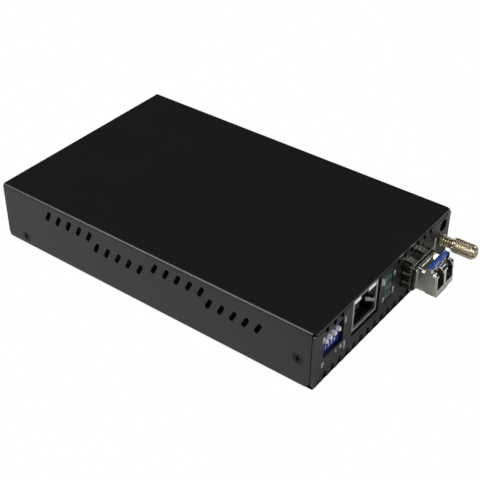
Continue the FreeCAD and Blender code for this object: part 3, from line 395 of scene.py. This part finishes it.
def addKnurl():
    first = thumbLow.y + (knurl["tip"] + knurl["bevel"]) * mm
    last = thumbLow.y + (knurl["neck"] - knurl["bevel"]) * mm
    radius = thumbRadius - knurl["height"] * mm
    bm = bmesh.new()
    centre = Matrix.Translation((thumbAxis.x, first, thumbAxis.z))
    turned = centre @ Matrix.Rotation(math.radians(90), 4, "X")
    bmesh.ops.create_circle(bm, segments=knurl["around"], radius=radius, matrix=turned)
    rim = bm.edges[:]
    for row in range(knurl["rows"]):
        grown = bmesh.ops.extrude_edge_only(bm, edges=rim)["geom"]
        rim = [part for part in grown if isinstance(part, bmesh.types.BMEdge)]
        moved = [part for part in grown if isinstance(part, bmesh.types.BMVert)]
        bmesh.ops.translate(bm, verts=moved, vec=(0, (last - first) / knurl["rows"], 0))
    bmesh.ops.recalc_face_normals(bm, faces=bm.faces)
    inner = [edge for edge in bm.edges if len(edge.link_faces) == 2]
    bmesh.ops.poke(bm, faces=bm.faces, offset=0.0, center_mode="MEAN")
    bmesh.ops.dissolve_edges(bm, edges=inner, use_verts=False)
    bmesh.ops.poke(bm, faces=bm.faces, offset=knurl["height"] * mm, center_mode="MEAN")
    mesh = bpy.data.meshes.new("thumbKnurl")
    bm.to_mesh(mesh)
    bm.free()
    addPiece("thumbKnurl", mesh, "thumb", finishes["screw_nickel"])


# Spring round the neck, in round wire.
spring = {"wire": 0.27, "sides": 8, "turns": 4, "steps": 26, "crease": 50, "push": 1.6}


def addSpring():
    low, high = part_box("thumbscrew_spring")
    wire = spring["wire"] * mm
    coil = (high.x - low.x) / 2 - wire
    steps = spring["turns"] * spring["steps"]
    rise = (high.y - low.y - 2 * wire) / steps
    bm = bmesh.new()
    start = Matrix.Translation((thumbAxis.x + coil, low.y + wire, thumbAxis.z))
    bmesh.ops.create_circle(bm, segments=spring["sides"], radius=wire, matrix=start)
    centre = (thumbAxis.x, low.y, thumbAxis.z)
    bmesh.ops.spin(bm, geom=bm.verts[:] + bm.edges[:], cent=centre, axis=(0, 1, 0), dvec=(0, rise, 0),
                   angle=math.tau * spring["turns"], steps=steps, use_duplicate=False)
    bmesh.ops.holes_fill(bm, edges=bm.edges, sides=spring["sides"])
    bmesh.ops.recalc_face_normals(bm, faces=bm.faces)
    shadeByAngle(bm, spring["crease"])
    mesh = bpy.data.meshes.new("thumbSpring")
    bm.to_mesh(mesh)
    bm.free()
    piece = addPiece("thumbSpring", mesh, "case", finishes["screw_nickel"])
    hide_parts("thumbscrew_spring")
    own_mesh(piece)


dressNode("thumbscrew", knurl["edge"], turnDownHead)
addKnurl()
addSpring()
print("thumbscrew knurled")


# Plain print: digits and ticks on the front panel and on the switch, in place of any lettering
fronts = {"panel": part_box("base_tray")[0].y, "switch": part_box("switch_body")[0].y}
ink = {"depth": 0.02, "swell": 0.04}
labels = {
    "switchWord": {"text": "ON", "spot": (-33.7, 17.35), "size": 1.5, "turn": 0, "on": "switch"},
    "switchDigits": {"text": "1 2 3 4", "spot": (-33.7, 11.7), "size": 2.2, "turn": 0, "on": "switch"},
    "switchLow": {"text": "123", "spot": (-39.7, 7.1), "size": 1.5, "turn": 90, "on": "panel"},
    "switchMid": {"text": "1", "spot": (-31.8, 7.8), "size": 2.2, "turn": 0, "on": "panel"},
    "switchFour": {"text": "4", "spot": (-28.9, 7.7), "size": 2.6, "turn": 0, "on": "panel"},
    "switchRight": {"text": "12345", "spot": (-26.5, 6.7), "size": 1.5, "turn": 90, "on": "panel"},
    "switchLeft": {"text": "1234", "spot": (-39.9, 17.8), "size": 1.4, "turn": 90, "on": "panel"},
    "switchHigh": {"text": "1234", "spot": (-26.8, 17.8), "size": 1.4, "turn": 90, "on": "panel"},
    "lampsLeft": {"text": "1000", "spot": (-3.3, 18.4), "size": 1.5, "turn": 90, "on": "panel"},
    "lampsNear": {"text": "1000", "spot": (-1.9, 17.4), "size": 1.5, "turn": 90, "on": "panel"},
    "lampsLow": {"text": "100", "spot": (-1.9, 9.8), "size": 1.5, "turn": 90, "on": "panel"},
    "lampsHigh": {"text": "100", "spot": (4.75, 17.7), "size": 1.5, "turn": 90, "on": "panel"},
    "lampsRight": {"text": "1000", "spot": (4.65, 10.4), "size": 1.5, "turn": 90, "on": "panel"},
    "thumbMark": {"text": "00000000", "spot": (34.9, 12.2), "size": 1.5, "turn": 90, "on": "panel"},
}


def addLabel(name, label):
    curve = bpy.data.curves.new(name + "Text", "FONT")
    curve.body = label["text"]
    curve.size = label["size"] * mm
    curve.align_x = "CENTER"
    curve.align_y = "CENTER"
    curve.extrude = ink["depth"] * mm / 2
    curve.offset = ink["swell"] * mm
    words = bpy.data.objects.new(name + "Text", curve)
    bpy.context.scene.collection.objects.link(words)
    bpy.context.view_layer.update()
    finished = words.evaluated_get(bpy.context.evaluated_depsgraph_get())
    mesh = bpy.data.meshes.new_from_object(finished)
    bpy.data.objects.remove(words)
    mesh.name = name
    x, z = label["spot"]
    place = Matrix.Translation((x * mm, fronts[label["on"]] - ink["depth"] * mm, z * mm))
    upright = Matrix.Rotation(math.radians(90), 4, "X")
    mesh.transform(place @ upright @ Matrix.Rotation(math.radians(label["turn"]), 4, "Z"))
    addPiece(name, mesh, "case", printWhite)


for name, label in labels.items():
    addLabel(name, label)
print("print added")


# Camera and light
view = {
    "azimuth": math.radians(-53.262), "elevation": math.radians(36.322), "roll": math.radians(0.566),
    "distance": 0.40616, "right": -0.006023, "up": -0.002112, "focal": 78.91, "sensor": 36, "near": 0.01,
}


def addCamera():
    az, el, roll = view["azimuth"], view["elevation"], view["roll"]
    back = Vector((math.sin(az) * math.cos(el), -math.cos(az) * math.cos(el), math.sin(el)))
    level = Vector((math.cos(az), math.sin(az), 0))
    above = back.cross(level)
    right = math.cos(roll) * level + math.sin(roll) * above
    up = math.cos(roll) * above - math.sin(roll) * level
    spot = back * view["distance"] - right * view["right"] - up * view["up"]
    camera = bpy.data.objects.new("camera", bpy.data.cameras.new("camera"))
    camera.data.lens = view["focal"]
    camera.data.sensor_width = view["sensor"]
    camera.data.clip_start = view["near"]
    camera.data.dof.use_dof = False
    camera.matrix_world = Matrix.Translation(spot) @ Matrix((right, up, back)).transposed().to_4x4()
    bpy.context.scene.collection.objects.link(camera)
    bpy.context.scene.camera = camera


lamps = {
    "key": {"spot": (-0.75, 0.62, 0.95), "size": 0.7, "power": 15},
    "fill": {"spot": (-0.5, -1.1, 0.9), "size": 0.9, "power": 7},
    "right": {"spot": (1.0, -0.5, 0.8), "size": 0.5, "power": 3},
}
sky = {"colour": (0.9, 0.95, 1.0, 1), "strength": 0.06}


def addLamps():
    for name, lamp in lamps.items():
        data = bpy.data.lights.new(name, "AREA")
        data.shape = "DISK"
        data.size = lamp["size"]
        data.energy = lamp["power"]
        thing = bpy.data.objects.new(name, data)
        thing.location = lamp["spot"]
        thing.rotation_euler = (-Vector(lamp["spot"])).to_track_quat("-Z", "Y").to_euler()
        bpy.context.scene.collection.objects.link(thing)
    world = bpy.data.worlds.new("studio")
    world.use_nodes = True
    nodes = world.node_tree.nodes
    nodes["Background"].inputs["Color"].default_value = sky["colour"]
    nodes["Background"].inputs["Strength"].default_value = sky["strength"]
    Board(world.node_tree).whiteToCamera(nodes["Background"], nodes["World Output"])
    bpy.context.scene.world = world


# The floor. Its contact shadow shows up to the reach, in millimetres, from the object.
paperLook = {
    "size": 4.0, "white": (0.9, 0.9, 0.9, 1), "rough": 0.9, "gloss": 0.0,
    "reach": 1.2, "samples": 16, "shadow": (0.5, 0.7),
}


# 1 on the part of the floor that the case covers, which lies in its shadow
def underCase(paper):
    low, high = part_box("base_tray")
    across, along = paper.parts(paper.place)[:2]
    return (abs(across) < high.x) * (abs(along) < -low.y)


def addFloor():
    bm = bmesh.new()
    bmesh.ops.create_grid(bm, x_segments=1, y_segments=1, size=paperLook["size"])
    mesh = bpy.data.meshes.new("floor")
    bm.to_mesh(mesh)
    bm.free()
    floor = bpy.data.objects.new("floor", mesh)
    bpy.context.scene.collection.objects.link(floor)
    paper = Finish("paper", {
        "Base Color": paperLook["white"], "Roughness": paperLook["rough"],
        "Specular IOR Level": paperLook["gloss"]})
    sockets = {"Distance": paperLook["reach"] * mm}
    settings = {"samples": paperLook["samples"]}
    contact = paper.node("ShaderNodeAmbientOcclusion", settings, sockets, "AO")
    white = paper.band(contact, *paperLook["shadow"]) * (1.0 - underCase(paper))
    paper.whiteToCamera(paper.shader, paper.tree.nodes["Material Output"], white)
    mesh.materials.append(paper.material)


addCamera()
addLamps()
addFloor()
bpy.context.scene.view_settings.view_transform = "Standard"
print("camera, lamps and floor in place")
